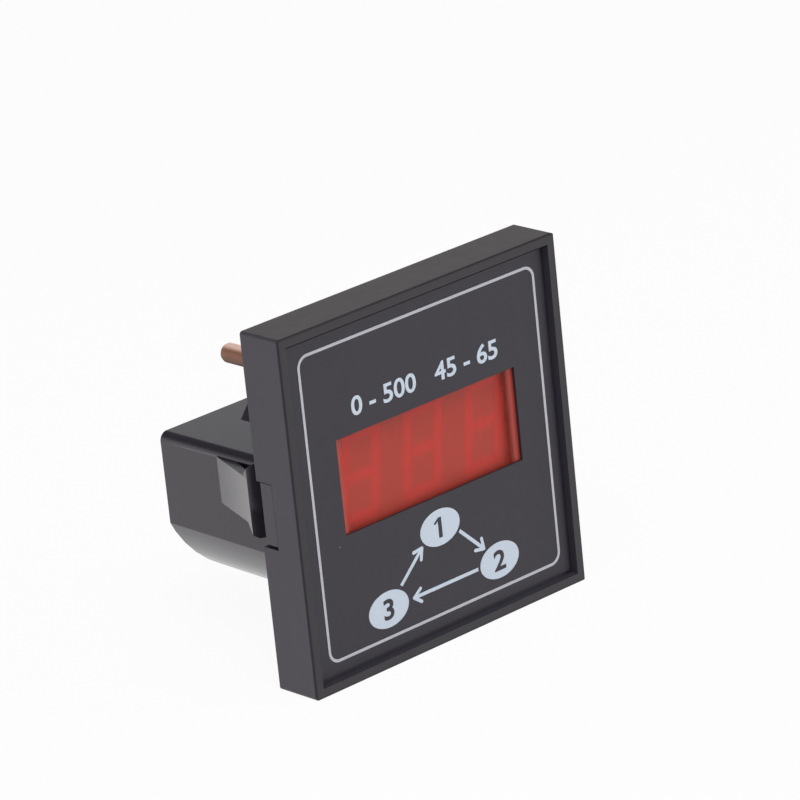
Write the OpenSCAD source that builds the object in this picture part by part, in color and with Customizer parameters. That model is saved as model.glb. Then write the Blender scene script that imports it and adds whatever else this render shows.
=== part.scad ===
// Square digital panel meter with a round-bottomed barrel, two moulded snap
// arms, two panel studs and two rear terminals.
// Frame: X right and Z up as seen from the front, +Y into the panel.
// Origin: centre of the bezel's back plane, which seats on the panel.
// Units: millimetres.

/* [Bezel] */
// Width and height of the square bezel
bezel_w = 56; // [55.5:0.1:57]
// Depth of the bezel from its front rim to the panel seat
bezel_d = 8.1; // [8:0.1:9]
// Thickness of the bezel's side wall, seen as the front rim
bezel_wall = 1.5; // [1.3:0.1:1.6]
// Depth of the dial plate behind the front rim
dial_recess = 1.1; // [1:0.1:1.6]
// Chamfer on the bezel's front outer edges
bezel_chamfer = 0.15; // [0.1:0.05:0.5]
// Depth of the side notch, measured forward from the seat
notch_d = 3.25; // [3:0.05:4.2]

/* [Dial] */
// Thickness of the dial plate
dial_t = 0.5; // [0.4:0.1:0.8]
// Gap between the dial plate's edge and the bezel wall
dial_gap = 0.6; // [0.2:0.1:0.8]
// How far the print and the window stand right of centre
dial_x = 0.15; // [0:0.05:0.3]
// Width and height of the printed border
border_w = 48.1; // [47:0.1:49]
// Width of the border's line
border_t = 0.46; // [0.4:0.02:0.7]
// Width of the display window in the dial
window_w = 36.4; // [35:0.1:37]
// Height of the display window in the dial
window_h = 14.9; // [14:0.1:16]
// Height of the window's centre above the bezel's centre
window_z = 1.96; // [1.5:0.02:2.5]
// Thickness of the printed ink
ink_t = 0.05; // [0.03:0.01:0.1]

/* [Display] */
// Spacing of the digits
digit_pitch = 12.7; // [12.5:0.1:12.8]
// Height of a digit between the centres of its top and bottom segments
digit_h = 12.4; // [12:0.1:12.8]
// Width of a digit between the centres of its side segments
digit_w = 6.3; // [6:0.1:6.8]
// Width of a segment
segment_w = 1.5; // [1.2:0.1:1.8]
// Slant of the digits, in degrees
digit_slant = 8; // [5:1:10]
// Width of the display module
module_w = 37.6; // [37.4:0.1:37.8]
// Height of the display module
module_h = 19; // [18.5:0.1:19.4]
// Depth of the display module
module_d = 3.1; // [2.8:0.1:3.2]

/* [Housing] */
// Depth of the barrel behind the panel seat
barrel_d = 31.3; // [30:0.1:33]
// Radius of the barrel's round lower part at the seat
barrel_r = 22.3; // [22.1:0.1:22.4]
// Height of the barrel's round centre from the bezel's centre
barrel_z = -1.7; // [-2:0.1:-1.5]
// Half width across the barrel's side flats at the seat
barrel_x = 20.2; // [20:0.1:20.4]
// Height of the barrel's flat top at the seat
barrel_top = 4; // [3.6:0.1:4.2]
// How far each outer wall leans in over the barrel's depth
barrel_draft = 0.4; // [0.2:0.1:0.5]
// Radius of the barrel's upper long edges
barrel_edge_r = 1.4; // [1:0.1:1.6]
// Wall thickness of the barrel at its rear end
barrel_wall = 1.4; // [1.3:0.1:1.5]
// Thickness of the housing's flange
flange_t = 1.1; // [1:0.1:1.2]

/* [Mounting studs] */
// Distance of each stud's axis from the centre lines
stud_at = 20; // [19.5:0.1:20.2]
// Radius of the M3 panel studs
stud_r = 1.5; // [1.4:0.1:1.6]
// Length of each stud behind the panel seat
stud_l = 13.3; // [12:0.1:16]

/* [Rear] */
// Thickness of the rear cover
cover_t = 2; // [1.8:0.1:2.2]
// Distance of each terminal's axis from the centre line
terminal_x = 10; // [9.5:0.1:10.5]
// Height of the terminals' axes
terminal_z = -11; // [-11.5:0.1:-10.5]
// Radius of the M4 terminal studs
terminal_r = 2; // [1.9:0.1:2.1]
// Length of each terminal stud behind the rear cover
terminal_l = 9; // [8.5:0.5:11]

/* [Hidden] */
$fn = 48;

// Planes along Y, from the front rim to the rear
rim_y = -bezel_d;
dial_y = rim_y + dial_recess;
ledge_y = dial_y + dial_t;
ledge_t = 1;
flange_front_y = ledge_y + ledge_t;
board_t = 1;
board_y = -flange_t - board_t;
module_y = board_y - module_d;
filter_t = 0.8;
rear_y = barrel_d;
cover_y = rear_y - cover_t;

// Bezel opening and flange
opening_w = bezel_w - 2 * bezel_wall;
flange_w = opening_w - 0.3;
flange_wall = 1.2;
ledge_w = 3;
dial_w = opening_w - 2 * dial_gap;
corner_r = 0.5;
arrow_line = 0.56;
notch_z0 = -5.3;
notch_z1 = 5;
tongue_gap = 0.05;
tongue_z0 = -4.7;
tongue_y1 = -0.8;
snap_rib_l = 20;
snap_rib_h = 0.3;
snap_rib_y = -3.4;

// Barrel cavity
cavity_x = barrel_x - barrel_draft - barrel_wall;
cavity_r = barrel_r - barrel_draft - barrel_wall;
cavity_top = barrel_top - barrel_draft - barrel_wall;

// Snap arms: plan profile, then outline seen from the side
arm_root_y = 18;
arm_root_t = 3.5;
arm_bend_x = 23;
arm_bend_y = 9.6;
arm_crest_x = 24;
arm_crest_y = 7;
arm_end_x = 22.4;
arm_end_y = 5.9;
arm_inner_x = 21.9;
arm_inner_y = 9;
arm_z0 = -4.8;
arm_z1 = 2.6;
head_z0 = -7;
head_z1 = 4.7;
head_y = 6.5;
head_slope = 1.9;
slot_x = 24.9;

// Anti-turn lug behind the flange
lug_x = -25.5;
lug_w = 4;
lug_lean = 3;
lug_z0 = 12.7;
lug_z1 = 16.4;
lug_d = 5;

// Roots of the panel studs
stud_boss_l = 3.2;
stud_boss_r = 3;
stud_head_r = 2.2;

// Boards
board_x = 19.5;
board_z0 = -15.5;
board_z1 = 16.5;
peg_x = 17.5;
peg_r = 1;
peg_high = 14.3;
peg_low = -13.7;
main_t = 1.6;
main_z = -9.6;
main_x = 17.4;
main_y0 = 1.6;
main_y1 = 24;
rail_t = 1.2;

main_under = main_z - main_t;

// Header pins
pin_pitch = 2.54;
pin_count = 8;
pin_t = 0.64;
pin_z = main_z + pin_pitch / 2;
header_y = main_y0 + 1.9;
header_d = 2.5;

// Where the board's components stand, as (x, y)
chip_at = [-7, 12.5];
crystal_at = [7.6, 8];
regulator_at = [12.6, 17.5];
rectifier_at = [-8.6, 19.2];
film_at = [-4.5, 7.6];
can_at = [7.6, 8];
resistor_1_at = [-8.5, 5.9];
resistor_2_at = [8.5, 13];
resistor_3_at = [-8.5, 19.4];

// Rear cover fasteners
screw_x = 14.6;
screw_z = -2.2;
screw_r = 1;
screw_head_r = 2;
screw_sink = 1.2;
boss_r = 2.3;
boss_l = 9;

// Trimmer
trimmer_w = 6.8;
trimmer_d = 4.6;
well_d = 1.5;
trimmer_y = main_y1 - trimmer_d;
rotor_r = 1.8;
rotor_gap = 0.05;
rotor_z = main_z + 4;
trimmer_hole_r = 1.6;

// Terminal hardware
nut_af = 7;
head_t = 2.2;
tag_t = 0.5;
locknut_t = 2.2;
washer_t = 0.8;
washer_r = 4.5;
washer_y = rear_y + locknut_t;
nut_t = 3.2;

// ---------- shared shapes ----------

// Extrudes an (x, z) outline from plane y0 to plane y1
module along_y(y0, y1) {
    translate([0, y1, 0])
        rotate([90, 0, 0])
            linear_extrude(y1 - y0)
                children();
}

// Extrudes an (x, y) outline from z0 to z1
module along_z(z0, z1) {
    translate([0, 0, z0])
        linear_extrude(z1 - z0)
            children();
}

// Extrudes a (y, z) outline from x0 to x1
module along_x(x0, x1) {
    translate([x0, 0, 0])
        rotate([90, 0, 90])
            linear_extrude(x1 - x0)
                children();
}

// Round bar along +Y, from y0 to y1, about the axis at (x, z)
module rod_y(x, z, y0, y1, r) {
    translate([x, y0, z])
        rotate([-90, 0, 0])
            cylinder(h = y1 - y0, r = r);
}

// Hexagon bar along +Y, sized across its flats
module hex_y(x, z, y0, y1, flats) {
    translate([x, y0, z])
        rotate([-90, 0, 0])
            cylinder(h = y1 - y0, r = flats / sqrt(3), $fn = 6);
}

// Box between two corners
module block(a, b) {
    translate(a)
        cube(b - a);
}

// Square with rounded corners
module rounded_square(w, r) {
    square([w - 2 * r, w], center = true);
    square([w, w - 2 * r], center = true);
    for (sx = [-1, 1], sz = [-1, 1])
        translate([sx * (w / 2 - r), sz * (w / 2 - r)])
            circle(r);
}

// Copies on the left and on the right
module both_sides() {
    children();
    mirror([1, 0, 0])
        children();
}

// Round section with flat sides and a flat top
module barrel_section(x, r, top) {
    intersection() {
        translate([0, barrel_z])
            circle(r);
        translate([-x, barrel_z - r])
            square([2 * x, top - barrel_z + r]);
    }
}

// ---------- front ----------

module front_bezel() {
    color([0.13, 0.13, 0.14])
        difference() {
            along_y(rim_y, 0)
                rounded_square(bezel_w, corner_r);
            along_y(rim_y - 1, ledge_y)
                square(opening_w, center = true);
            along_y(ledge_y - 1, 1)
                square(opening_w - 2 * ledge_w, center = true);
            along_y(flange_front_y, 1)
                square(opening_w, center = true);
            both_sides()
                block([opening_w / 2 - 1, -notch_d, notch_z0], [bezel_w, 1, notch_z1]);
            for (turn = [0, 90, 180, 270])
                rotate([0, turn, 0])
                    bezel_edge_cut();
            for (side = [-1, 1])
                translate([0, snap_rib_y, side * opening_w / 2])
                    snap_rib(snap_rib_l + 0.4, snap_rib_h + 0.1);
        }
}

// Prism that chamfers the front edge on the +X side
module bezel_edge_cut() {
    translate([bezel_w / 2, rim_y, 0])
        rotate([0, 0, 45])
            cube([2 * bezel_chamfer / sqrt(2), 2 * bezel_chamfer / sqrt(2), 2 * bezel_w], center = true);
}

// Three-sided rib along X that snaps the bezel onto the flange
module snap_rib(l, h) {
    along_x(-l / 2, l / 2)
        polygon([[-2 * h, 0], [0, h], [2 * h, 0], [0, -h]]);
}

module dial_plate() {
    color([0.15, 0.15, 0.16])
        difference() {
            along_y(dial_y, dial_y + dial_t)
                square(dial_w, center = true);
            along_y(dial_y - 1, dial_y + 2)
                translate([dial_x, window_z])
                    square([window_w, window_h], center = true);
        }
}

// Printed border, three legend fields and the arrows between them
module dial_print() {
    border_r = 2;
    color([0.75, 0.78, 0.82])
        along_y(dial_y - ink_t, dial_y)
            translate([dial_x, 0]) {
                difference() {
                    rounded_square(border_w, border_r);
                    rounded_square(border_w - 2 * border_t, border_r - border_t);
                }
                for (at = [[0.2, -10.3], [-11.5, -19.4], [11.5, -19.4]])
                    translate(at)
                        ellipse(4.05, 2.85);
                arrow([-8.6, -16.65], [-3.6, -12.1]);
                arrow([4, -12.15], [8.75, -16.75]);
                arrow([7, -19.4], [-6.6, -19.4]);
            }
}

module ellipse(a, b) {
    steps = 48;
    polygon([for (i = [0:steps - 1]) [a * cos(360 * i / steps), b * sin(360 * i / steps)]]);
}

// Arrow with an open head of two round-ended strokes, from one point to another
module arrow(from, to) {
    head_l = 1.75;
    head_angle = 36;
    run = to - from;
    translate(to)
        rotate(atan2(run[1], run[0])) {
            translate([-norm(run), -arrow_line / 2])
                square([norm(run) - arrow_line / 2, arrow_line]);
            for (side = [-1, 1])
                translate([-arrow_line / 2, 0])
                    rotate(180 + side * head_angle)
                        stroke(head_l);
        }
}

module stroke(l) {
    translate([0, -arrow_line / 2])
        square([l, arrow_line]);
    for (x = [0, l])
        translate([x, 0])
            circle(arrow_line / 2);
}

module display_filter() {
    color([0.72, 0.12, 0.1, 0.9])
        along_y(ledge_y, ledge_y + filter_t)
            translate([dial_x, window_z])
                square([window_w + 3, window_h + 2.6], center = true);
}

// ---------- display ----------

// One bar segment with pointed ends, lying along X
module segment(l) {
    w = segment_w / 2;
    polygon([[-l / 2, 0], [-l / 2 + w, w], [l / 2 - w, w], [l / 2, 0], [l / 2 - w, -w], [-l / 2 + w, -w]]);
}

// Seven segments and a decimal point, upright
module digit() {
    gap = 0.25;
    across = digit_w - gap;
    up = digit_h / 2 - gap;
    for (row = [-1, 0, 1])
        translate([0, row * digit_h / 2])
            segment(across);
    for (side = [-1, 1], half = [-1, 1])
        translate([side * digit_w / 2, half * digit_h / 4])
            rotate(90)
                segment(up);
    translate([digit_w / 2 + 2.1, -digit_h / 2])
        circle(0.75);
}

// The three slanted digits
module digits() {
    for (i = [-1, 0, 1])
        translate([dial_x + i * digit_pitch, window_z])
            multmatrix([[1, tan(digit_slant), 0, 0], [0, 1, 0, 0], [0, 0, 1, 0], [0, 0, 0, 1]])
                digit();
}

module display_module() {
    color([0.85, 0.83, 0.8])
        difference() {
            along_y(module_y, board_y)
                translate([dial_x, window_z])
                    square([module_w, module_h], center = true);
            along_y(module_y - 1, module_y + 0.8)
                digits();
        }
}

module display_segments() {
    color([0.9, 0.25, 0.2])
        along_y(module_y, module_y + 0.8)
            digits();
}

module display_board() {
    color([0.1, 0.35, 0.18])
        difference() {
            block([-board_x, board_y, board_z0], [board_x, -flange_t, board_z1]);
            for (x = [-peg_x, peg_x], z = [peg_low, peg_high])
                rod_y(x, z, board_y - 1, 0, peg_r + 0.1);
            for (i = [0:pin_count - 1])
                header_pin_hole(i);
        }
}

// ---------- housing ----------

// Flange tray, barrel and snap arms moulded as one piece
module base_housing() {
    color([0.1, 0.1, 0.11])
        difference() {
            union() {
                flange_tray();
                barrel_shell();
                both_sides()
                    snap_arm();
                both_sides()
                    release_tongue();
                anti_turn_lug();
                board_pegs();
                stud_bosses();
            }
            for (x = [-1, 1])
                rod_y(x * stud_at, -x * stud_at, -stud_boss_l - 1, 1, stud_head_r);
        }
}

module flange_tray() {
    difference() {
        along_y(flange_front_y, 0)
            square(flange_w, center = true);
        along_y(flange_front_y - 1, -flange_t)
            square(flange_w - 2 * flange_wall, center = true);
        along_y(-flange_t - 1, 1)
            barrel_section(cavity_x, cavity_r, cavity_top);
        both_sides()
            block([barrel_x, -flange_t - 1, head_z0], [slot_x, 1, head_z1]);
    }
    for (side = [-1, 1])
        translate([0, snap_rib_y, side * flange_w / 2])
            snap_rib(snap_rib_l, snap_rib_h);
}

// Outer section of the barrel, with rounded upper edges
module barrel_outline(lean) {
    x = barrel_x - lean;
    top = barrel_top - lean;
    r = barrel_edge_r;
    hull() {
        barrel_section(x, barrel_r - lean, top - r);
        for (side = [-1, 1])
            translate([side * (x - r), top - r])
                circle(r);
    }
}

module barrel_shell() {
    skin = 0.01;
    difference() {
        hull() {
            along_y(-skin, 0)
                barrel_outline(0);
            along_y(rear_y - skin, rear_y)
                barrel_outline(barrel_draft);
        }
        along_y(-1, rear_y + 1)
            barrel_section(cavity_x, cavity_r, cavity_top);
    }
    both_sides()
        for (z = [main_z + 0.1, main_z - main_t - 0.1 - rail_t])
            block([main_x - 1, 3, z], [cavity_x + 0.2, main_y1, z + rail_t]);
    both_sides()
        screw_boss();
}

// Boss for a cover screw, tied to the side wall
module screw_boss() {
    difference() {
        union() {
            rod_y(screw_x, screw_z, cover_y - boss_l, cover_y, boss_r);
            block([screw_x, cover_y - boss_l, screw_z - 1], [cavity_x + 0.2, cover_y, screw_z + 1]);
        }
        rod_y(screw_x, screw_z, cover_y - boss_l + 1, cover_y + 1, screw_r);
    }
}

// Springy arm that flares out of the side wall and hooks behind the panel
module snap_arm() {
    root_x = barrel_x - 0.5;
    intersection() {
        along_z(head_z0, head_z1)
            polygon([
                [root_x, arm_root_y],
                [barrel_x, arm_root_y],
                [arm_bend_x, arm_bend_y],
                [arm_crest_x, arm_crest_y],
                [arm_end_x, arm_end_y],
                [arm_inner_x, arm_inner_y],
                [root_x, arm_root_y - arm_root_t]
            ]);
        along_x(barrel_x - 1, arm_crest_x + 1)
            polygon([
                [arm_root_y, arm_z0],
                [head_y + head_slope, arm_z0],
                [head_y, head_z0],
                [0, head_z0],
                [0, head_z1],
                [head_y, head_z1],
                [head_y + head_slope, arm_z1],
                [arm_root_y, arm_z1]
            ]);
    }
}

// Tongue that fills the bezel's side notch
module release_tongue() {
    block(
        [flange_w / 2 - 0.5, tongue_gap - notch_d, tongue_z0],
        [bezel_w / 2, tongue_y1, notch_z1 - 2 * tongue_gap]
    );
}

// Lug behind the flange, with a sloping outer face
module anti_turn_lug() {
    along_y(-flange_t / 2, lug_d)
        polygon([
            [lug_x, lug_z0],
            [lug_x + lug_lean, lug_z1],
            [lug_x + lug_w, lug_z1],
            [lug_x + lug_w, lug_z0]
        ]);
}

// Heat-staked pegs that hold the display board
module board_pegs() {
    for (x = [-peg_x, peg_x], z = [peg_low, peg_high]) {
        rod_y(x, z, board_y - 0.7, 0, peg_r);
        rod_y(x, z, board_y - 0.7, board_y, 1.6 * peg_r);
    }
}

module stud_bosses() {
    for (side = [-1, 1])
        rod_y(side * stud_at, -side * stud_at, -stud_boss_l, 0, stud_boss_r);
}

// Stud with a domed end and a wider head moulded into the flange
module mounting_stud(x, z) {
    dome = 0.8;
    color([0.72, 0.45, 0.32])
        translate([x, 0, z])
            rotate([-90, 0, 0])
                rotate_extrude()
                    polygon([
                        [0, -stud_boss_l],
                        [stud_head_r, -stud_boss_l],
                        [stud_head_r, 0],
                        [stud_r, 0],
                        [stud_r, stud_l - dome],
                        [stud_r * 0.87, stud_l - dome * 0.45],
                        [stud_r * 0.55, stud_l - dome * 0.1],
                        [0, stud_l]
                    ]);
}

module mounting_stud_upper() {
    mounting_stud(-stud_at, stud_at);
}

module mounting_stud_lower() {
    mounting_stud(stud_at, -stud_at);
}

// ---------- electronics ----------

function pin_x(i) = (i - (pin_count - 1) / 2) * pin_pitch;

module main_board() {
    color([0.1, 0.35, 0.18])
        difference() {
            block([-main_x, main_y0, main_z - main_t], [main_x, main_y1, main_z]);
            for (i = [0:pin_count - 1])
                translate([pin_x(i), header_y, main_z - main_t / 2])
                    cylinder(h = main_t + 1, r = 0.5, center = true);
        }
}

module header_pin_hole(i) {
    rod_y(pin_x(i), pin_z, board_y - 1, 0, 0.5);
}

module header_block() {
    half = pin_count * pin_pitch / 2;
    color([0.08, 0.08, 0.08])
        difference() {
            block([-half, -flange_t, main_z], [half, -flange_t + header_d, main_z + pin_pitch]);
            for (i = [0:pin_count - 1])
                block(
                    [pin_x(i) - pin_t / 2, -flange_t - 1, pin_z - pin_t / 2],
                    [pin_x(i) + pin_t / 2, -flange_t + header_d + 1, pin_z + pin_t / 2]
                );
        }
}

// Right-angle pins between the two boards
module header_pins() {
    color([0.8, 0.68, 0.35])
        for (i = [0:pin_count - 1])
            along_x(pin_x(i) - pin_t / 2, pin_x(i) + pin_t / 2)
                polygon([
                    [board_y - 0.8, pin_z - pin_t / 2],
                    [header_y - pin_t / 2, pin_z - pin_t / 2],
                    [header_y - pin_t / 2, main_z - main_t - 1],
                    [header_y + pin_t / 2, main_z - main_t - 1],
                    [header_y + pin_t / 2, pin_z + pin_t / 2],
                    [board_y - 0.8, pin_z + pin_t / 2]
                ]);
}

// Wide surface-mount package with gull-wing leads
module controller_chip() {
    chip_l = 12.8;
    chip_w = 7.5;
    lead_pitch = 1.27;
    color([0.09, 0.09, 0.1])
        translate([chip_at[0], chip_at[1], main_z]) {
            translate([-chip_l / 2, -chip_w / 2, 0.3])
                cube([chip_l, chip_w, 2.2]);
            for (side = [-1, 1], i = [0:9])
                translate([(i - 4.5) * lead_pitch, side * (chip_w / 2 + 0.5), 0.55])
                    cube([0.42, 2, 1.1], center = true);
        }
}

module crystal() {
    can_l = 10.5;
    can_w = 4.4;
    color([0.78, 0.78, 0.8])
        translate([crystal_at[0], crystal_at[1], main_z])
            linear_extrude(3.5) {
                square([can_l - can_w, can_w], center = true);
                for (side = [-1, 1])
                    translate([side * (can_l - can_w) / 2, 0])
                        circle(can_w / 2);
            }
}

// Small flat-faced plastic package standing on three leads
module voltage_regulator() {
    body_r = 2.3;
    lead_pitch = 1.27;
    color([0.1, 0.1, 0.1])
        translate([regulator_at[0], regulator_at[1], main_z]) {
            intersection() {
                translate([0, 0, 2])
                    cylinder(h = 4.6, r = body_r);
                translate([-5, -1.4, 0])
                    cube([10, 5, 10]);
            }
            for (i = [-1, 0, 1])
                translate([i * lead_pitch, 0, 1.1])
                    cube([0.4, 0.4, 2.2], center = true);
        }
}

module bridge_rectifier() {
    body_l = 8.4;
    body_w = 6.4;
    color([0.08, 0.08, 0.09])
        translate([rectifier_at[0], rectifier_at[1], main_under]) {
            translate([-body_l / 2, -body_w / 2, -3.3])
                cube([body_l, body_w, 3.2]);
            for (i = [-1, 1], side = [-1, 1])
                translate([i * pin_pitch, side * (body_w / 2 + 0.15), -1])
                    cube([1, 0.3, 2], center = true);
        }
}

module film_capacitor() {
    body = [13, 6, 7];
    standoff = 0.2;
    color([0.75, 0.6, 0.15])
        translate([film_at[0], film_at[1], main_under]) {
            translate([-body[0] / 2, -body[1] / 2, -standoff - body[2]])
                cube(body);
            for (x = [-5, 5])
                translate([x, 0, -standoff])
                    cylinder(h = standoff, r = 0.3);
        }
}

// Can that lies along Y under the board, with a crimped neck and two bent leads
module electrolytic_capacitor() {
    can_r = 4;
    can_l = 11.5;
    can_x = can_at[0];
    can_y = can_at[1];
    can_z = main_under - can_r;
    lead = 0.6;
    lead_x = 1.75;
    color([0.15, 0.18, 0.3]) {
        difference() {
            rod_y(can_x, can_z, can_y, can_y + can_l, can_r);
            difference() {
                rod_y(can_x, can_z, can_y + 1.4, can_y + 2, can_r + 1);
                rod_y(can_x, can_z, can_y + 1.3, can_y + 2.1, can_r - 0.3);
            }
        }
        for (side = [-1, 1])
            along_x(can_x + side * lead_x - lead / 2, can_x + side * lead_x + lead / 2)
                polygon([
                    [can_y + 0.1, can_z - lead],
                    [can_y - 2 * lead, can_z - lead],
                    [can_y - 2 * lead, main_under],
                    [can_y - lead, main_under],
                    [can_y - lead, can_z],
                    [can_y + 0.1, can_z]
                ]);
    }
}

// Axial resistor with bent leads, lying along X above the board
module resistor(at) {
    body_l = 6.2;
    body_r = 1.15;
    lead_r = 0.25;
    span = 9;
    color([0.55, 0.7, 0.8])
        translate([at[0], at[1], main_z + body_r]) {
            rotate([0, 90, 0])
                cylinder(h = body_l, r = body_r, center = true);
            rotate([0, 90, 0])
                cylinder(h = span, r = lead_r, center = true);
            for (side = [-1, 1])
                translate([side * (span / 2 - lead_r), 0, -body_r])
                    cylinder(h = body_r, r = lead_r);
        }
}

module divider_resistor_1() {
    resistor(resistor_1_at);
}

module divider_resistor_2() {
    resistor(resistor_2_at);
}

module divider_resistor_3() {
    resistor(resistor_3_at);
}

// Side-adjusted trimmer with a round well for its rotor
module trimmer_body() {
    color([0.15, 0.35, 0.7])
        difference() {
            block([-trimmer_w / 2, trimmer_y, main_z], [trimmer_w / 2, main_y1, main_z + trimmer_w]);
            rod_y(0, rotor_z, main_y1 - well_d, main_y1 + 1, rotor_r + rotor_gap);
        }
}

module trimmer_rotor() {
    color([0.9, 0.9, 0.88])
        difference() {
            rod_y(0, rotor_z, main_y1 - well_d + rotor_gap, main_y1 + 0.2, rotor_r);
            block([-rotor_r - 1, main_y1 - 0.6, rotor_z - 0.3], [rotor_r + 1, main_y1 + 1, rotor_z + 0.3]);
        }
}

// ---------- rear ----------

module rear_cover() {
    fit = 0.15;
    color([0.1, 0.1, 0.11])
        difference() {
            along_y(cover_y, rear_y)
                barrel_section(cavity_x - fit, cavity_r - fit, cavity_top - fit);
            for (side = [-1, 1]) {
                rod_y(side * terminal_x, terminal_z, cover_y - 1, rear_y + 1, terminal_r);
                rod_y(side * screw_x, screw_z, cover_y - 1, rear_y + 1, screw_r + 0.1);
                rod_y(side * screw_x, screw_z, rear_y - screw_sink, rear_y + 1, screw_head_r + 0.2);
            }
            rod_y(0, rotor_z, cover_y - 1, rear_y + 1, trimmer_hole_r);
        }
}

// Two pan-head screws with a cross recess
module cover_screws() {
    color([0.7, 0.7, 0.72])
        for (side = [-1, 1])
            difference() {
                union() {
                    rod_y(side * screw_x, screw_z, cover_y - boss_l + 2, rear_y - screw_sink, screw_r);
                    rod_y(side * screw_x, screw_z, rear_y - screw_sink, rear_y - 0.1, screw_head_r);
                }
                for (turn = [0, 90])
                    translate([side * screw_x, rear_y, screw_z])
                        rotate([0, turn, 0])
                            cube([2.4, 1.2, 0.5], center = true);
            }
}

// Brass stud with a hexagon head inside the cover
module terminal_stud(side) {
    x = side * terminal_x;
    color([0.78, 0.62, 0.3]) {
        hex_y(x, terminal_z, cover_y - tag_t - head_t, cover_y - tag_t, nut_af);
        rod_y(x, terminal_z, cover_y - tag_t, rear_y + terminal_l, terminal_r);
    }
}

module terminal_stud_left() {
    terminal_stud(-1);
}

module terminal_stud_right() {
    terminal_stud(1);
}

// Bent strip from the stud to the main board
module terminal_tag(side) {
    x = side * terminal_x;
    bend_z = main_z + 2.6;
    foot_y = main_y1 - 2.5;
    low_z = terminal_z - 3.2;
    half_w = 2.6;
    color([0.75, 0.62, 0.35])
        difference() {
            along_x(x - half_w, x + half_w)
                polygon([
                    [cover_y, low_z],
                    [cover_y, bend_z],
                    [foot_y, bend_z],
                    [foot_y, main_z],
                    [foot_y + tag_t, main_z],
                    [foot_y + tag_t, bend_z - tag_t],
                    [cover_y - tag_t, bend_z - tag_t],
                    [cover_y - tag_t, low_z]
                ]);
            rod_y(x, terminal_z, cover_y - 2, cover_y + 1, terminal_r);
        }
}

module terminal_tag_left() {
    terminal_tag(-1);
}

module terminal_tag_right() {
    terminal_tag(1);
}

// Hexagon nuts on both studs, between two planes
module nut_pair(y0, y1) {
    color([0.8, 0.66, 0.34])
        for (side = [-1, 1])
            difference() {
                hex_y(side * terminal_x, terminal_z, y0, y1, nut_af);
                rod_y(side * terminal_x, terminal_z, y0 - 1, y1 + 1, terminal_r);
            }
}

module terminal_locknuts() {
    nut_pair(rear_y, washer_y);
}

module terminal_washers() {
    color([0.8, 0.8, 0.78])
        for (side = [-1, 1])
            difference() {
                rod_y(side * terminal_x, terminal_z, washer_y, washer_y + washer_t, washer_r);
                rod_y(side * terminal_x, terminal_z, rear_y, rear_y + terminal_l, terminal_r + 0.15);
            }
}

module terminal_nuts() {
    nut_pair(washer_y + washer_t, washer_y + washer_t + nut_t);
}

front_bezel();
dial_plate();
dial_print();
display_filter();
display_module();
display_segments();
display_board();
base_housing();
mounting_stud_upper();
mounting_stud_lower();
main_board();
header_block();
header_pins();
controller_chip();
crystal();
voltage_regulator();
bridge_rectifier();
film_capacitor();
electrolytic_capacitor();
divider_resistor_1();
divider_resistor_2();
divider_resistor_3();
trimmer_body();
trimmer_rotor();
rear_cover();
cover_screws();
terminal_stud_left();
terminal_stud_right();
terminal_tag_left();
terminal_tag_right();
terminal_locknuts();
terminal_washers();
terminal_nuts();
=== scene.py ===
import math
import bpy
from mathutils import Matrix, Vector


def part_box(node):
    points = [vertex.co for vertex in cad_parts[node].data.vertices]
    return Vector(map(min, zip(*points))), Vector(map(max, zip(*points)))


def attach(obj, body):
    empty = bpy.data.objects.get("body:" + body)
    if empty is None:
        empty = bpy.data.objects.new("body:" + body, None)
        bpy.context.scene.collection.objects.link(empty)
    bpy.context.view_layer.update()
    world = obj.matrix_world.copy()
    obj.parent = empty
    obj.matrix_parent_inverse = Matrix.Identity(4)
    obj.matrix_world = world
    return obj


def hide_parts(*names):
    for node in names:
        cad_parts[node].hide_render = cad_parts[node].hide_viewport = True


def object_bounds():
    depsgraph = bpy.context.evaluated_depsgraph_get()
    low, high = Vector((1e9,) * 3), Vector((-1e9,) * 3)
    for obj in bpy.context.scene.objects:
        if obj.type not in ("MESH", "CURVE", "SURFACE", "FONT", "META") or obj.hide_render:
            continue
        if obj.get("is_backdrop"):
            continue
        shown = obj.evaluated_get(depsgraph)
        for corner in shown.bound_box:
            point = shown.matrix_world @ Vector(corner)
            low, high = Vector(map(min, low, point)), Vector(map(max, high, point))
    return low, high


bl_info = {
    "name": "Digital Panel Meter",
    "version": (1, 0, 0),
    "blender": (4, 5, 0),
    "location": "View3D > Sidebar > Panel Meter",
    "description": "Finishes, markings, threads and studio for a square digital panel meter",
    "category": "Object",
}

import bmesh
import bpy
from bpy.props import FloatProperty, FloatVectorProperty, PointerProperty, StringProperty
from bpy.types import Operator, Panel, PropertyGroup
from mathutils import Matrix, Vector

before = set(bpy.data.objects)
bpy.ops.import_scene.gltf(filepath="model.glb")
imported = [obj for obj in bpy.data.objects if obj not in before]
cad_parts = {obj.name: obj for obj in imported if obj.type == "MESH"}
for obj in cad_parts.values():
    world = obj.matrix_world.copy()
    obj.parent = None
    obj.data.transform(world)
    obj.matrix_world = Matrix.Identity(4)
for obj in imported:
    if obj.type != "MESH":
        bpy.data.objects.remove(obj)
CAD_BOX = [list(corner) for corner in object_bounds()]
MM = 0.001
BODY = "meter"

DUST_COLOUR = (0.32, 0.32, 0.34)
MOULDED_TINT = (1.0, 0.96, 1.0, 1.0)
EDGE_RADIUS = 0.09 * MM
CAP_HEIGHT = 0.7  # height of a figure as a share of the font's size
INK_DEPTH = 0.02 * MM
TERMINAL_RADIUS = 2.0 * MM
TERMINAL_HEAD = 2.2 * MM


def rgba(colour, level=1.0):
    return [channel * level for channel in colour] + [1.0]


# ---------- shader helpers ----------


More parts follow.
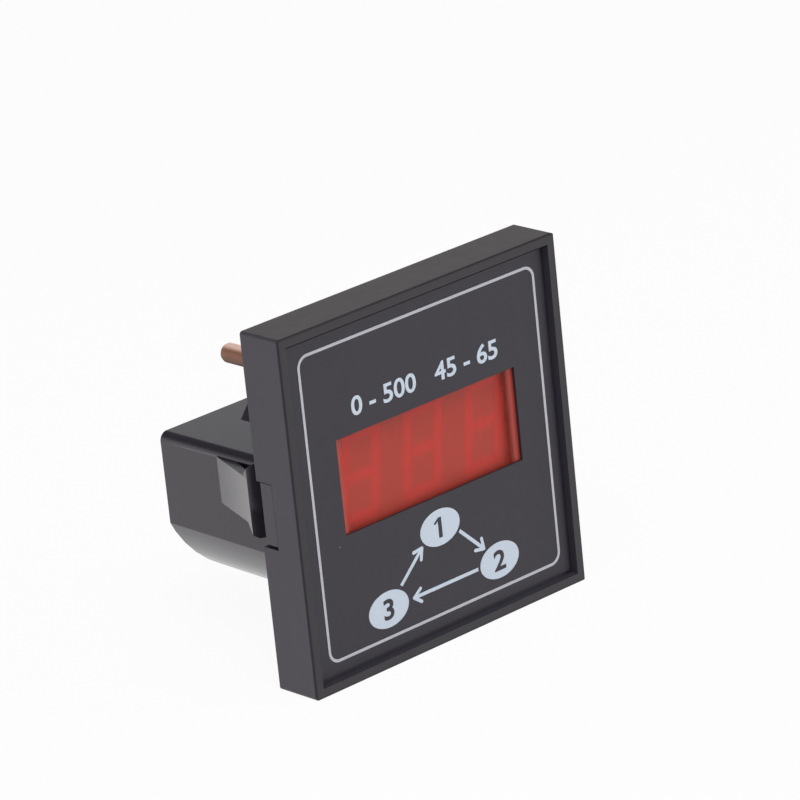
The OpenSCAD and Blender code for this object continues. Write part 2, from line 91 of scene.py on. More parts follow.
class Wire:
    """A shader output that Python's operators can add Math nodes to."""

    def __init__(self, finish, socket):
        self.finish = finish
        self.socket = socket

    def math(self, operation, first, second=0.0):
        return self.finish.node("ShaderNodeMath", {"operation": operation}, {0: first, 1: second})

    def __add__(self, other):
        return self.math("ADD", self, other)

    def __radd__(self, other):
        return self.math("ADD", other, self)

    def __sub__(self, other):
        return self.math("SUBTRACT", self, other)

    def __rsub__(self, other):
        return self.math("SUBTRACT", other, self)

    def __mul__(self, other):
        return self.math("MULTIPLY", self, other)

    def __truediv__(self, other):
        return self.math("DIVIDE", self, other)

    def __pow__(self, other):
        return self.math("POWER", self, other)

    def __round__(self):
        return self.math("ROUND", self)

    def least(self, other):
        return self.math("MINIMUM", self, other)

    def most(self, other):
        return self.math("MAXIMUM", self, other)

    def __lt__(self, other):
        return self.math("LESS_THAN", self, other)

    def __gt__(self, other):
        return self.math("GREATER_THAN", self, other)

    def __abs__(self):
        return self.math("ABSOLUTE", self)


class Finish:
    """A material whose nodes are added one call at a time."""

    def __init__(self, name, tree=None):
        if tree is None:
            self.material = bpy.data.materials.new(name)
            self.material.use_nodes = True
            tree = self.material.node_tree
        self.tree = tree
        tree.nodes.clear()

    def node(self, kind, settings=None, sockets=None, output=0):
        made = self.tree.nodes.new(kind)
        for key, value in (settings or {}).items():
            if key == "stops":
                self.set_stops(made.color_ramp, value)
            else:
                setattr(made, key, value)
        for key, value in (sockets or {}).items():
            if isinstance(value, Wire):
                self.tree.links.new(value.socket, made.inputs[key])
            else:
                made.inputs[key].default_value = value
        return Wire(self, made.outputs[output]) if len(made.outputs) else made

    def set_stops(self, ramp, stops):
        while len(ramp.elements) < len(stops):
            ramp.elements.new(0.5)
        for element, (position, level) in zip(ramp.elements, stops):
            element.position = position
            element.color = (level, level, level, 1.0)

    def place(self):
        return self.node("ShaderNodeTexCoord", output="Object")

    def axis(self, letter):
        """Place along one of the frame's axes, in millimetres."""
        return self.node("ShaderNodeSeparateXYZ", None, {0: self.place()}, letter) / MM

    def fade(self, value, full, none):
        """Falls smoothly from 1 to 0 as the value goes from full to none."""
        return self.node(
            "ShaderNodeMapRange",
            {"interpolation_type": "SMOOTHSTEP"},
            {"Value": value, "From Min": full, "From Max": none, "To Min": 1.0, "To Max": 0.0},
        )

    def rise(self, value, none, full):
        """Climbs smoothly from 0 to 1 as the value goes from none to full."""
        return 1.0 - self.fade(value, none, full)

    def from_middle(self, node, letter):
        """Distance from a node's middle along one axis, and half the node's size, in millimetres."""
        low, high = (getattr(corner, letter.lower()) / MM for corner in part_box(node))
        return self.axis(letter) - (low + high) / 2, (high - low) / 2

    def noise(self, grains_per_mm, detail=3.0, roughness=0.5):
        """Cloudy value around 0.5, with a grain size set in grains per millimetre."""
        return self.node(
            "ShaderNodeTexNoise",
            {"noise_dimensions": "3D"},
            {"Vector": self.place(), "Scale": grains_per_mm / MM, "Detail": detail, "Roughness": roughness},
        )

    def cells(self, cells_per_mm, output):
        """Round cells scattered over the surface: each one's colour, or the distance to its middle."""
        return self.node(
            "ShaderNodeTexVoronoi",
            {"feature": "F1"},
            {"Vector": self.place(), "Scale": cells_per_mm / MM},
            output,
        )

    def mix(self, factor, first, second):
        """Goes from the first colour to the second as the factor goes from 0 to 1."""
        return self.node("ShaderNodeMix", {"data_type": "RGBA"}, {"Factor": factor, 6: first, 7: second}, 2)

    def shade(self, colour, variation=0.12, patch_per_mm=0.08):
        """Base colour that drifts a little lighter and darker over the surface."""
        return self.mix(self.noise(patch_per_mm), rgba(colour, 1 - variation), rgba(colour, 1 + variation))

    def specks(self, per_mm, size, share):
        """Small round specks, in a random share of the cells."""
        inside = self.cells(per_mm, "Distance") < size
        picked = self.node("ShaderNodeSeparateColor", None, {0: self.cells(per_mm, "Color")}) > 1 - share
        return inside * picked

    def bump(self, height, strength, distance_mm):
        """Normal of a fine relief, with the object's edges slightly rounded."""
        edges = self.node("ShaderNodeBevel", {"samples": 6}, {"Radius": EDGE_RADIUS})
        return self.node(
            "ShaderNodeBump",
            None,
            {"Height": height, "Strength": strength, "Distance": distance_mm * MM, "Normal": edges},
        )

    def principled(self, sockets):
        shader = self.node("ShaderNodeBsdfPrincipled", None, sockets)
        self.node("ShaderNodeOutputMaterial", None, {"Surface": shader})
        return self.material


def moulded(name, colour, roughness, grain, dust=0.0, ior=1.5, tint=None):
    """Moulded plastic with a fine skin, uneven gloss and, if wanted, a little dust.

    tint takes the finish, the base colour and the roughness, and returns the last two changed.
    """
    finish = Finish(name)
    base = finish.shade(colour)
    gloss = finish.noise(0.5, detail=4.0) * 0.12 + (roughness - 0.06)
    if tint:
        base, gloss = tint(finish, base, gloss)
    if dust:
        base = finish.mix(finish.specks(0.16, 0.02, dust), base, rgba(DUST_COLOUR))
    skin = finish.noise(9.0, detail=2.0)
    return finish.principled(
        {
            "Base Color": base,
            "Roughness": gloss,
            "IOR": ior,
            "Specular Tint": MOULDED_TINT,
            "Normal": finish.bump(skin, grain, 0.02),
        }
    )


def plated(name, colour, roughness):
    """Metal with a fine grain and slightly uneven tarnish."""
    finish = Finish(name)
    base = finish.shade(colour, variation=0.18, patch_per_mm=0.4)
    gloss = finish.noise(2.0, detail=5.0, roughness=0.7) * 0.2 + (roughness - 0.1)
    return finish.principled(
        {
            "Base Color": base,
            "Metallic": 1.0,
            "Roughness": gloss,
            "Normal": finish.bump(finish.noise(14.0), 0.15, 0.01),
        }
    )


def board(name, colour):
    """Solder mask with paler tracks under it."""
    finish = Finish(name)
    track = finish.cells(0.35, "Distance") < 0.22
    base = finish.mix(track, finish.shade(colour), rgba(colour, 1.9))
    return finish.principled(
        {"Base Color": base, "Roughness": 0.35, "Normal": finish.bump(track, 0.3, 0.03)}
    )


def dress(material, *nodes):
    for node in nodes:
        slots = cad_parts[node].data.materials
        slots.clear()
        slots.append(material)


# ---------- mesh helpers ----------


def add_piece(name, mesh, material, slot):
    piece = bpy.data.objects.new(name, mesh)
    bpy.context.scene.collection.objects.link(piece)
    mesh.materials.append(material)
    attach(piece, BODY)
    return piece


def settle(elements, place):
    """Puts vertices or faces in the order of their places, so that every run writes the same mesh."""
    ordered = sorted(elements, key=lambda element: tuple(place(element)))
    ranks = {element: rank for rank, element in enumerate(ordered)}
    elements.sort(key=ranks.get)


def mesh_from(bm, name):
    bmesh.ops.remove_doubles(bm, verts=bm.verts, dist=1e-7)
    bmesh.ops.recalc_face_normals(bm, faces=bm.faces)
    settle(bm.verts, lambda vert: vert.co)
    settle(bm.faces, lambda face: face.calc_center_median())
    mesh = bpy.data.meshes.new(name)
    bm.to_mesh(mesh)
    bm.free()
    return mesh


def smooth_copy(node, name, material, slot):
    """Stands in for a faceted node with the same faces, shaded smooth where they curve."""
    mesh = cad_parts[node].data.copy()
    mesh.materials.clear()
    bm = bmesh.new()
    bm.from_mesh(mesh)
    bmesh.ops.remove_doubles(bm, verts=bm.verts, dist=1e-6)
    bmesh.ops.dissolve_limit(bm, angle_limit=math.radians(0.5), verts=bm.verts, edges=bm.edges)
    bm.to_mesh(mesh)
    bm.free()
    mesh.polygons.foreach_set("use_smooth", [True] * len(mesh.polygons))
    mesh.set_sharp_from_angle(angle=math.radians(20))
    piece = add_piece(name, mesh, material, slot)
    weights = piece.modifiers.new("Flat faces stay flat", "WEIGHTED_NORMAL")
    weights.keep_sharp = True
    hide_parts(node)


def dial_text(name, words, height, centre, front, bold, stretch):
    """Flat figures on the dial, turned to the front.

    bold is how far their outlines are pushed out, and stretch makes them wider.
    """
    curve = bpy.data.curves.new(name, "FONT")
    curve.body = words
    curve.align_x = "CENTER"
    curve.align_y = "CENTER"
    curve.size = height / CAP_HEIGHT
    curve.offset = bold
    curve.extrude = INK_DEPTH
    curve.resolution_u = 6
    holder = bpy.data.objects.new(name, curve)
    bpy.context.scene.collection.objects.link(holder)
    bpy.context.view_layer.update()
    mesh = bpy.data.meshes.new_from_object(holder.evaluated_get(bpy.context.evaluated_depsgraph_get()))
    bpy.data.objects.remove(holder)
    mesh.transform(Matrix.Diagonal((stretch, 1.0, 1.0, 1.0)))
    low = min(v.co.y for v in mesh.vertices)
    high = max(v.co.y for v in mesh.vertices)
    mesh.transform(Matrix.Translation((0.0, -(low + high) / 2, 0.0)))
    mesh.transform(Matrix.Rotation(math.radians(90), 4, "X"))
    mesh.transform(Matrix.Translation((centre[0], front, centre[1])))
    return mesh


# ---------- properties ----------


def colour_property(name, description, default):
    return FloatVectorProperty(
        name=name, description=description, default=default, subtype="COLOR", size=3, min=0.0, max=1.0
    )


def length_property(name, description, millimetres):
    return FloatProperty(name=name, description=description, default=millimetres * MM, unit="LENGTH")


def angle_property(name, description, degrees):
    return FloatProperty(name=name, description=description, default=math.radians(degrees), subtype="ANGLE")


class MeterFinishes(PropertyGroup):
    bezel: colour_property("Bezel", "Satin black of the bezel", (0.037, 0.0345, 0.047))
    housing: colour_property("Housing", "Gloss black of the barrel and rear cover", (0.016, 0.014, 0.021))
    sheet: colour_property("Dial sheet", "Matt black of the dial", (0.0178, 0.0168, 0.0235))
    ink: colour_property("Ink", "Pale blue-grey of the printed marks", (0.55, 0.625, 0.72))
    window: colour_property("Window", "Red of the display window", (0.44, 0.045, 0.028))
    reflector: colour_property("Reflector", "Face of the display module", (0.56, 0.076, 0.051))
    segments: colour_property("Segments", "Cast resin of the display segments", (0.77, 0.062, 0.048))
    copper: colour_property("Copper", "Plating of the panel studs", (0.25, 0.115, 0.072))
    brass: colour_property("Brass", "Terminals", (0.70, 0.50, 0.22))
    mask: colour_property("Solder mask", "Green of the circuit boards", (0.02, 0.12, 0.05))


class MeterMarkings(PropertyGroup):
    legend_height: length_property("Legend height", "Height of the numbers in the ovals", 3.1)
    range_text: StringProperty(
        name="Range", description="Measuring ranges above the window", default="0 - 500   45 - 65"
    )
    range_height: length_property("Range height", "Height of the numbers above the window", 2.85)
    range_z: length_property("Range place", "How far those numbers stand above the centre", 13.45)


class MeterDigits(PropertyGroup):
    pitch: length_property("Spacing", "Spacing of the digits", 12.7)
    width: length_property("Width", "Width of a digit", 6.3)
    height: length_property("Height", "Height of a digit", 12.4)
    slant: angle_property("Slant", "Lean of a digit", 8)


class MeterThreads(PropertyGroup):
    pitch: length_property("Pitch", "Pitch of the terminal threads", 0.7)
    depth: length_property("Depth", "Depth of the thread", 0.32)


class MeterStage(PropertyGroup):
    lens: FloatProperty(name="Lens", description="Focal length", default=233.4, unit="CAMERA")
    azimuth: angle_property("Azimuth", "Side the camera stands on", -41.451)
    elevation: angle_property("Elevation", "Height of the camera", 19.56)
    roll: angle_property("Roll", "Lean of the camera", -5.953)
    place: FloatVectorProperty(
        name="Camera",
        description="Camera position",
        default=(-0.47905, -0.54386, 0.26602),
        subtype="TRANSLATION",
    )
    key: FloatProperty(name="Key lamp", description="Power of the overhead lamp", default=7.0, unit="POWER")
    fill: FloatProperty(name="Fill lamp", description="Power of the front lamp", default=2.5, unit="POWER")


# ---------- operators ----------


class METER_OT_bezel(Operator):
    """Finish the bezel: satin moulding with a fine skin, a few dust specks, painted shade on its front and
    a painted tone on its top
    """

    bl_idname = "meter.bezel"
    bl_label = "Bezel"
    # painted colours: the top's lit tone, the front's painted shade and the darker painted shade of its
    # outer edge
    painted_top_tone = (0.037, 0.033, 0.0345)
    painted_front_shade = (0.012, 0.0115, 0.0145)
    painted_edge_shade = (0.004, 0.004, 0.005)

    def execute(self, context):
        colours = context.scene.meter_finishes
        satin = moulded(
            "Satin black", colours.bezel, roughness=0.42, grain=0.18, dust=0.3, ior=1.53, tint=self.painted_light_and_shade
        )
        dress(satin, "front_bezel")
        return {"FINISHED"}

    def painted_light_and_shade(self, finish, base, gloss):
        """Painted light and shade: the top is painted a little warmer, and painted shade makes the front
        deeper black, most of all on its outer edge.
        """
        low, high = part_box("front_bezel")
        depth = finish.axis("Y") - low.y / MM
        reach = abs(finish.axis("X")).most(abs(finish.axis("Z")))
        half = (high.x - low.x) / 2 / MM
        top = high.z / MM
        # painted shade on the front face and, darker still, along its outer edge
        front = finish.fade(depth, 0.02, 0.2)
        edge = finish.fade(depth, 0.16, 0.4) * finish.rise(reach, half - 0.4, half - 0.16)
        # painted top tone, for the different light the top catches
        above = finish.rise(finish.axis("Z"), top - 0.12, top - 0.05)
        base = finish.mix(above, base, rgba(self.painted_top_tone))
        base = finish.mix(front.most(edge), base, rgba(self.painted_front_shade))
        return finish.mix(edge, base, rgba(self.painted_edge_shade)), gloss + edge * 0.25


class METER_OT_housing(Operator):
    """Finish the housing and the rear cover: glossy moulding, with a painted sheen on the snap arms"""

    bl_idname = "meter.housing"
    bl_label = "Housing"
    # colour of the painted sheen on the arms' curved outer faces
    painted_sheen_colour = (0.25, 0.245, 0.25)
    # where the outer face of an arm starts in x, y and z, in mm
    arm_root = 20.25
    arm_crest = 7.0
    arm_top = 2.7

    def execute(self, context):
        colour = context.scene.meter_finishes.housing
        dress(moulded("Gloss black", colour, roughness=0.16, grain=0.05, ior=1.68), "rear_cover")
        painted_sheen = moulded(
            "Gloss black, worn arms", colour, roughness=0.16, grain=0.05, ior=1.64, tint=self.arms
        )
        smooth_copy("base_housing", "moulded_housing", painted_sheen, "black_abs_gloss")
        return {"FINISHED"}

    def arms(self, finish, base, gloss):
        """A painted sheen pales the outer faces of the snap arms, in streaks across their length."""
        out = abs(finish.axis("X"))
        back = finish.axis("Y")
        face = finish.rise(out, self.arm_root, self.arm_root + 0.35)
        face = face * finish.rise(back, self.arm_crest, self.arm_crest + 0.15)
        face = face * finish.fade(finish.axis("Z"), self.arm_top - 0.4, self.arm_top)
        streak = finish.node(
            "ShaderNodeTexNoise",
            {"noise_dimensions": "1D"},
            {"W": back * 1.1, "Detail": 3.0, "Roughness": 0.6},
        )
        # painted sheen, brighter further out on the arm's face, in streaks
        sheen_falloff = 1.0 - finish.fade(out, self.arm_root + 0.25, self.arm_root + 3.75) * 0.5
        pale = (sheen_falloff * (0.4 + streak * 1.1)).least(1.0)
        return finish.mix(face * pale, base, rgba(self.painted_sheen_colour)), gloss + face * 0.2


class METER_OT_dial(Operator):
    """Finish the dial sheet and its printed marks"""

    bl_idname = "meter.dial"
    bl_label = "Dial"
    border_colour = (0.47, 0.47, 0.515)
    border_reach = 22.5  # the border line lies further out than this, in mm

    def execute(self, context):
        colours = context.scene.meter_finishes
        dress(moulded("Dial sheet", colours.sheet, roughness=0.5, grain=0.12, dust=0.15), "dial_plate")
        dress(self.ink("Dial ink", colours.ink), "dial_print")
        return {"FINISHED"}

    def ink(self, name, colour):
        """Unevenly laid ink, thinner and greyer along the border line."""
        finish = Finish(name)
        coverage = finish.noise(3.0, detail=4.0, roughness=0.65)
        base = finish.mix(coverage, rgba(colour, 0.86), rgba(colour, 1.1))
        reach = abs(finish.axis("X")).most(abs(finish.axis("Z")))
        thin = finish.noise(1.2) * 0.3 + 0.85
        base = finish.mix((reach > self.border_reach) * thin, base, rgba(self.border_colour))
        return finish.principled(
            {"Base Color": base, "Roughness": 0.55, "Normal": finish.bump(coverage, 0.2, 0.01)}
        )


class METER_OT_markings(Operator):
    """Print the numbers in the ovals and above the window"""

    bl_idname = "meter.markings"
    bl_label = "Markings"
    # middle of each oval in x and z, in mm
    ovals = {"1": (0.35, -10.3), "2": (11.65, -19.4), "3": (-11.35, -19.4)}
    flag_size = (1.05 * MM, 0.36 * MM)
    flag_lean = math.radians(-36)

    def execute(self, context):
        sizes = context.scene.meter_markings
        colours = context.scene.meter_finishes
        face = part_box("dial_print")[0].y
        dark = moulded("Legend ink", colours.sheet, roughness=0.5, grain=0.05)
        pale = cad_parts["dial_print"].data.materials[0]
        for number, (x, z) in self.ovals.items():
            name = "legend_" + number
            middle = (x * MM, z * MM)
            mesh = dial_text(name, number, sizes.legend_height, middle, face, bold=0.1 * MM, stretch=1.15)
            if number == "1":
                self.add_flag(mesh)
            add_piece(name, mesh, dark, "dial_sheet")
        name = "range_numbers"
        middle = (0.5 * MM, sizes.range_z)
        front = face + 0.03 * MM
        mesh = dial_text(
            name, sizes.range_text, sizes.range_height, middle, front, bold=0.08 * MM, stretch=1.12
        )
        add_piece(name, mesh, pale, "dial_ink")
        return {"FINISHED"}

    def add_flag(self, mesh):
        """Gives the bar of the figure one its sloping flag."""
        bm = bmesh.new()
        bm.from_mesh(mesh)
        left = min(vert.co.x for vert in bm.verts)
        top = max(vert.co.z for vert in bm.verts)
        front = min(vert.co.y for vert in bm.verts)
        back = max(vert.co.y for vert in bm.verts)
        length, width = self.flag_size
        place = Matrix.Translation((left - length * 0.28, (front + back) / 2, top - length * 0.5))
        lean = Matrix.Rotation(self.flag_lean, 4, "Y")
        size = Matrix.Diagonal((length, (back - front) * 0.98, width, 1.0))
        bmesh.ops.create_cube(bm, size=1.0, matrix=place @ lean @ size)
        bm.to_mesh(mesh)
        bm.free()


class METER_OT_display(Operator):
    """Finish the red window and the three digits behind it"""

    bl_idname = "meter.display"
    bl_label = "Display"
    film_hidden = (1.5, 1.3)  # how much of the film the dial hides in x and z, in mm
    # painted shadow and greyish reflection along the top of the film
    painted_top_shade_colour = (0.32, 0.06, 0.052)
    # painted shade at the right end of the film
    painted_right_shade_colour = (0.345, 0.036, 0.025)

    def execute(self, context):
        colours = context.scene.meter_finishes
        face = self.face("Display face", colours, context.scene.meter_digits)
        dress(face, "display_module", "display_segments")
        dress(self.window("Red window", colours.window), "display_filter")
        return {"FINISHED"}

    def face(self, name, colours, digits):
        """Face of the display, where each segment's colour spreads a little past its edge."""
        finish = Finish(name)
        up = finish.from_middle("display_module", "Z")[0]
        across = finish.from_middle("display_module", "X")[0]
        slanted = across - up * math.tan(digits.slant)
        pitch = digits.pitch / MM
        half_w = digits.width / 2 / MM
        half_h = digits.height / 2 / MM
        from_side = abs(slanted - round(slanted / pitch) * pitch)
        from_middle = abs(up)
        past_side = (from_side - half_w).most(0.0)
        past_top = (from_middle - half_h).most(0.0)
        upright = self.reach(from_side - half_w, past_top)
        ends = self.reach(past_side, from_middle - half_h)
        bar = self.reach(past_side, from_middle)
        glow = finish.fade(upright.least(ends).least(bar), 0.35, 1.35)
        return finish.principled(
            {
                "Base Color": finish.mix(glow, rgba(colours.reflector), rgba(colours.segments)),
                "Roughness": finish.noise(0.5) * 0.1 + 0.45,
                "Normal": finish.bump(finish.noise(0.8), 0.05, 0.02),
            }
        )

    def window(self, name, colour):
        """Red film, clear enough to show the digits, denser at its ends, with painted shadow and reflection
        along its top and painted shade at its right end.
        """
        finish = Finish(name)
        across, half_w = finish.from_middle("display_filter", "X")
        up, half_h = finish.from_middle("display_filter", "Z")
        half_w -= self.film_hidden[0]
        half_h -= self.film_hidden[1]
        # painted shade towards the right end
        painted_right_shade = finish.rise(across, half_w - 2.2, half_w - 0.9)
        right_end = finish.rise(across, half_w - 2.0, half_w - 0.7)
        left_end = finish.rise(across * -1.0, half_w - 1.6, half_w - 0.4)
        # painted shadow and reflection towards the top
        top = finish.rise(up, half_h - 2.8, half_h - 0.2)
        base = finish.mix(top * 0.55, rgba(colour), rgba(self.painted_top_shade_colour))
        base = finish.mix(painted_right_shade, base, rgba(self.painted_right_shade_colour))
        return finish.principled(
            {
                "Base Color": base,
                "Roughness": finish.noise(0.3) * 0.06 + 0.3,
                "Alpha": (right_end + left_end) * 0.78 + 0.2,
                "Normal": finish.bump(finish.noise(0.8), 0.04, 0.02),
            }
        )

    def reach(self, first, second):
        """Straight distance from two distances at right angles."""
        return (first * first + second * second) ** 0.5


class METER_OT_studs(Operator):
    """Finish the copper panel studs"""

    bl_idname = "meter.studs"
    bl_label = "Panel studs"
    radius = 1.5  # in mm
    # colour of the painted highlight along the top of each stud
    painted_highlight_colour = (0.88, 0.60, 0.50)

    def execute(self, context):
        for node in ("mounting_stud_upper", "mounting_stud_lower"):
            dress(self.copper_with_painted_light(node, context.scene.meter_finishes.copper), node)
        return {"FINISHED"}

    def copper_with_painted_light(self, node, colour):
        """Dull copper, with a painted highlight along its top and painted shade underneath."""
        finish = Finish("Copper, " + node.replace("_", " "))
        height = finish.from_middle(node, "Z")[0] / self.radius
        # painted highlight on top and painted shade underneath, set by height on the stud
        painted_highlight = finish.rise(height, 0.62, 0.98)
        shaded = finish.fade(height, -0.85, 0.3)
        base = finish.shade(colour, variation=0.14, patch_per_mm=0.5)
        base = finish.mix(painted_highlight, base, rgba(self.painted_highlight_colour))
        base = finish.mix(shaded, base, rgba(colour, 0.45))
        return finish.principled(
            {
                "Base Color": base,
                "Metallic": 0.3,
                "Roughness": finish.noise(2.0, detail=5.0, roughness=0.7) * 0.16 + 0.4,
                "Normal": finish.bump(finish.noise(14.0), 0.15, 0.01),
            }
        )


class METER_OT_terminals(Operator):
    """Cut the threads of the rear terminals and finish their hardware"""

    bl_idname = "meter.terminals"
    bl_label = "Terminals"

    def execute(self, context):
        colours = context.scene.meter_finishes
        brass = plated("Brass", colours.brass, roughness=0.28)
        steel = plated("Zinc plating", (0.62, 0.62, 0.63), roughness=0.3)
        dress(brass, "terminal_tag_left", "terminal_tag_right", "terminal_locknuts", "terminal_nuts")
        dress(steel, "terminal_washers", "cover_screws")
        for side in ("left", "right"):
            self.stud(side, brass, context.scene.meter_threads)
        return {"FINISHED"}

    def stud(self, side, material, thread):
        """Threaded rod with its hexagon head, the size of the plain one."""
        low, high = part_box("terminal_stud_" + side)
        middle = ((low.x + high.x) / 2, 0, (low.z + high.z) / 2)
        head_end = low.y + TERMINAL_HEAD
        corner = (high.z - low.z) / math.sqrt(3)
        head_place = Matrix.Translation((0, (low.y + head_end) / 2, 0))
        along_y = Matrix.Rotation(math.radians(90), 4, "X")
        bm = bmesh.new()
        head = bmesh.ops.create_cone(
            bm,
            cap_ends=True,
            segments=6,
            radius1=corner,
            radius2=corner,
            depth=head_end - low.y,
            matrix=head_place @ along_y,
        )
        flats_up = Matrix.Rotation(math.radians(30), 3, "Y")
        bmesh.ops.rotate(bm, verts=head["verts"], cent=(0, 0, 0), matrix=flats_up)
        self.turn(bm, head_end, high.y, thread)
        bmesh.ops.translate(bm, verts=bm.verts, vec=middle)
        name = "threaded_terminal_" + side
        piece = add_piece(name, mesh_from(bm, name), material, "brass")
        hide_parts("terminal_stud_" + side)

    def turn(self, bm, start, end, thread):
        """Spins a toothed outline about Y."""
        root = TERMINAL_RADIUS - thread.depth
        outline = [(0.0, start), (root, start)]
        y = start + thread.pitch / 2
        while y + thread.pitch / 2 < end:
            outline.append((TERMINAL_RADIUS, y))
            outline.append((root, y + thread.pitch / 2))
            y += thread.pitch
        outline.append((root, end))
        outline.append((0.0, end))
        verts = [bm.verts.new((r, y, 0.0)) for r, y in outline]
        edges = [bm.edges.new(pair) for pair in zip(verts, verts[1:])]
        bmesh.ops.spin(
            bm, geom=verts + edges, cent=(0, 0, 0), axis=(0, 1, 0), angle=math.tau, steps=40, use_merge=True
        )


class METER_OT_electronics(Operator):
    """Finish the circuit boards and what is on them"""

    bl_idname = "meter.electronics"
    bl_label = "Electronics"

    def execute(self, context):
        colours = context.scene.meter_finishes
        dress(board("Solder mask", colours.mask), "display_board", "main_board")
        dress(
            moulded("Component case", (0.025, 0.025, 0.027), roughness=0.5, grain=0.2),
            "header_block",
            "controller_chip",
            "voltage_regulator",
            "bridge_rectifier",
        )
        dress(plated("Gilt pins", (0.75, 0.58, 0.28), roughness=0.25), "header_pins")
        dress(plated("Crystal can", (0.66, 0.66, 0.68), roughness=0.22), "crystal")
        film = moulded("Capacitor case", (0.55, 0.38, 0.06), roughness=0.4, grain=0.1)
        sleeve = moulded("Capacitor sleeve", (0.03, 0.04, 0.12), roughness=0.3, grain=0.05)
        dress(film, "film_capacitor")
        dress(sleeve, "electrolytic_capacitor")
        dress(
            moulded("Resistor lacquer", (0.30, 0.48, 0.58), roughness=0.3, grain=0.08),
            "divider_resistor_1",
            "divider_resistor_2",
            "divider_resistor_3",
        )
        case = moulded("Trimmer case", (0.03, 0.10, 0.42), roughness=0.35, grain=0.05)
        rotor = moulded("Trimmer rotor", (0.75, 0.75, 0.72), roughness=0.4, grain=0.1)
        dress(case, "trimmer_body")
        dress(rotor, "trimmer_rotor")
        return {"FINISHED"}


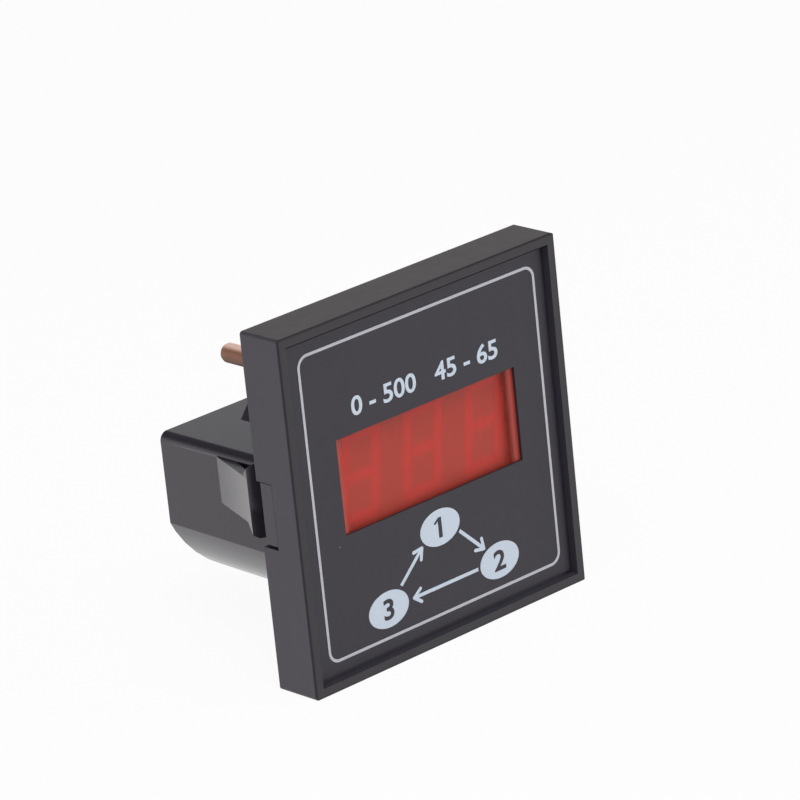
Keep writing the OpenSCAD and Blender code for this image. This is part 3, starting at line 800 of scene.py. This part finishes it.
class METER_OT_stage(Operator):
    """Set the camera, the floor, the studio surroundings and the lamps"""

    bl_idname = "meter.stage"
    bl_label = "Stage"
    floor_half = 3.0
    # height of the sky, from the horizon to overhead, and its brightness there
    sky_levels = ((0.0, 1.05), (0.18, 0.85), (0.4, 0.3), (0.62, 0.1), (1.0, 0.5))

    def execute(self, context):
        stage = context.scene.meter_stage
        self.camera(context.scene, stage)
        self.floor(context.scene)
        self.surroundings(context.scene)
        self.lamp("Key", stage.key, place=(-0.25, -0.35, 0.9), size=0.7)
        self.lamp("Fill", stage.fill, place=(0.6, -0.9, 0.35), size=0.6)
        context.scene.view_settings.view_transform = "Standard"
        return {"FINISHED"}

    def camera(self, scene, stage):
        """Camera turned from its angles, so that it leans by its roll."""
        azimuth = stage.azimuth
        elevation = stage.elevation
        right = Vector((math.cos(azimuth), math.sin(azimuth), 0.0))
        back = Vector(
            (
                math.sin(azimuth) * math.cos(elevation),
                -math.cos(azimuth) * math.cos(elevation),
                math.sin(elevation),
            )
        )
        up = back.cross(right)
        leaning_right = math.cos(stage.roll) * right + math.sin(stage.roll) * up
        leaning_up = back.cross(leaning_right)
        turn = Matrix((leaning_right, leaning_up, back)).transposed().to_4x4()
        data = bpy.data.cameras.new("Camera")
        data.lens = stage.lens
        data.sensor_width = 36.0
        data.clip_start = 0.01
        data.clip_end = 20.0
        camera = bpy.data.objects.new("Camera", data)
        scene.collection.objects.link(camera)
        camera.matrix_world = Matrix.Translation(stage.place) @ turn
        scene.camera = camera

    def floor(self, scene):
        """Pale floor at the bezel's lowest point, seen as white, that keeps a soft shadow."""
        bm = bmesh.new()
        bmesh.ops.create_grid(bm, x_segments=1, y_segments=1, size=self.floor_half)
        bmesh.ops.translate(bm, verts=bm.verts, vec=(0, 0, CAD_BOX[0][2]))
        mesh = mesh_from(bm, "Floor")
        floor = bpy.data.objects.new("Floor", mesh)
        scene.collection.objects.link(floor)
        finish = Finish("Floor")
        seen = self.rays(finish, "Is Camera Ray") * 0.95 + self.rays(finish, "Is Glossy Ray") * 0.9
        through = self.rays(finish, "Is Transmission Ray") * 0.9
        paper = finish.node("ShaderNodeBsdfDiffuse", None, {"Color": (0.88, 0.875, 0.88, 1.0)})
        glow = finish.node("ShaderNodeEmission", None, {"Color": (1.0, 0.99, 0.995, 1.0), "Strength": 1.0})
        shader = finish.node("ShaderNodeMixShader", None, {0: seen + through, 1: paper, 2: glow})
        finish.node("ShaderNodeOutputMaterial", None, {"Surface": shader})
        mesh.materials.append(finish.material)
        floor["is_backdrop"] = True

    def surroundings(self, scene):
        """White to the camera; to the object, bright at the horizon and dim higher up."""
        world = bpy.data.worlds.new("Studio")
        world.use_nodes = True
        scene.world = world
        sky = Finish("Studio", world.node_tree)
        direction = sky.node("ShaderNodeTexCoord", output="Generated")
        height = sky.node("ShaderNodeSeparateXYZ", None, {0: direction}, "Z")
        level = sky.node("ShaderNodeValToRGB", {"stops": self.sky_levels}, {"Fac": height})
        seen = self.rays(sky, "Is Camera Ray") + self.rays(sky, "Is Transmission Ray")
        colour = sky.mix(seen, level, (1.0, 1.0, 1.0, 1.0))
        light = sky.node("ShaderNodeBackground", None, {"Color": colour, "Strength": 1.0})
        sky.node("ShaderNodeOutputWorld", None, {"Surface": light})

    def rays(self, finish, kind):
        return finish.node("ShaderNodeLightPath", output=kind)

    def lamp(self, name, power, place, size):
        """Square lamp that faces the meter."""
        data = bpy.data.lights.new(name, "AREA")
        data.energy = power
        data.size = size
        lamp = bpy.data.objects.new(name, data)
        bpy.context.scene.collection.objects.link(lamp)
        lamp.location = place
        lamp.rotation_mode = "QUATERNION"
        lamp.rotation_quaternion = (-Vector(place)).to_track_quat("-Z", "Y")


STEPS = (
    METER_OT_stage,
    METER_OT_bezel,
    METER_OT_housing,
    METER_OT_dial,
    METER_OT_markings,
    METER_OT_display,
    METER_OT_studs,
    METER_OT_terminals,
    METER_OT_electronics,
)
GROUPS = {
    "meter_finishes": MeterFinishes,
    "meter_markings": MeterMarkings,
    "meter_digits": MeterDigits,
    "meter_threads": MeterThreads,
    "meter_stage": MeterStage,
}


class METER_PT_panel(Panel):
    """Lists the meter's build steps"""

    bl_idname = "METER_PT_panel"
    bl_label = "Panel Meter"
    bl_space_type = "VIEW_3D"
    bl_region_type = "UI"
    bl_category = "Panel Meter"

    def draw(self, context):
        for step in STEPS:
            self.layout.operator(step.bl_idname)
        for name in GROUPS:
            group = getattr(context.scene, name)
            box = self.layout.box()
            for key in group.bl_rna.properties.keys():
                if key not in ("rna_type", "name"):
                    box.prop(group, key)


def register():
    for cls in (*GROUPS.values(), *STEPS, METER_PT_panel):
        bpy.utils.register_class(cls)
    for name, cls in GROUPS.items():
        setattr(bpy.types.Scene, name, PointerProperty(type=cls))


def unregister():
    for name in GROUPS:
        delattr(bpy.types.Scene, name)
    for cls in (METER_PT_panel, *reversed(STEPS), *reversed(GROUPS.values())):
        bpy.utils.unregister_class(cls)


def main():
    register()
    bpy.ops.meter.stage()
    bpy.ops.meter.bezel()
    bpy.ops.meter.housing()
    bpy.ops.meter.dial()
    bpy.ops.meter.markings()
    bpy.ops.meter.display()
    bpy.ops.meter.studs()
    bpy.ops.meter.terminals()
    bpy.ops.meter.electronics()
    shown_box = [list(corner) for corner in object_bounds()]
    {"cad": CAD_BOX, "shown": shown_box}


if __name__ == "__main__":
    main()
